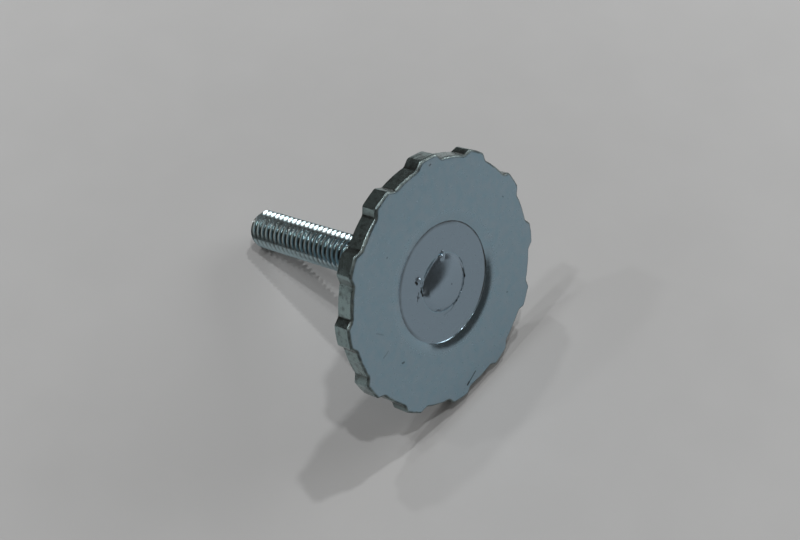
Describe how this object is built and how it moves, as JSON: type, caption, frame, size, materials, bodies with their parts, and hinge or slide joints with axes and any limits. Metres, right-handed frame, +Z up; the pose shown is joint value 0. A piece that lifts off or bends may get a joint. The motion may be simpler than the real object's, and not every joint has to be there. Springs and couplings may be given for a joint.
{
  "type": "thumb screw",
  "caption": "Thumb screw: a flat stamped wheel with a toothed rim for the fingers, riveted on the end of a threaded steel stud.",
  "frame": {"origin": "middle of the floor area that the screw covers as it lies at rest, on two teeth of its wheel and the far end of its stud", "axes": "+Z up from the floor, +X towards the side that the wheel's front face leans to, so the stud runs down towards -X, and the screw mirrors about y = 0"},
  "size_m": [0.0446, 0.0374, 0.0353],
  "materials": {
    "plate": "satin blue zinc plate, stamped",
    "thread": "bright blue zinc plate, rolled thread"
  },
  "bodies": {
    "root": {"wheel": "plate", "stud": "thread"}
  },
  "joints": []
}
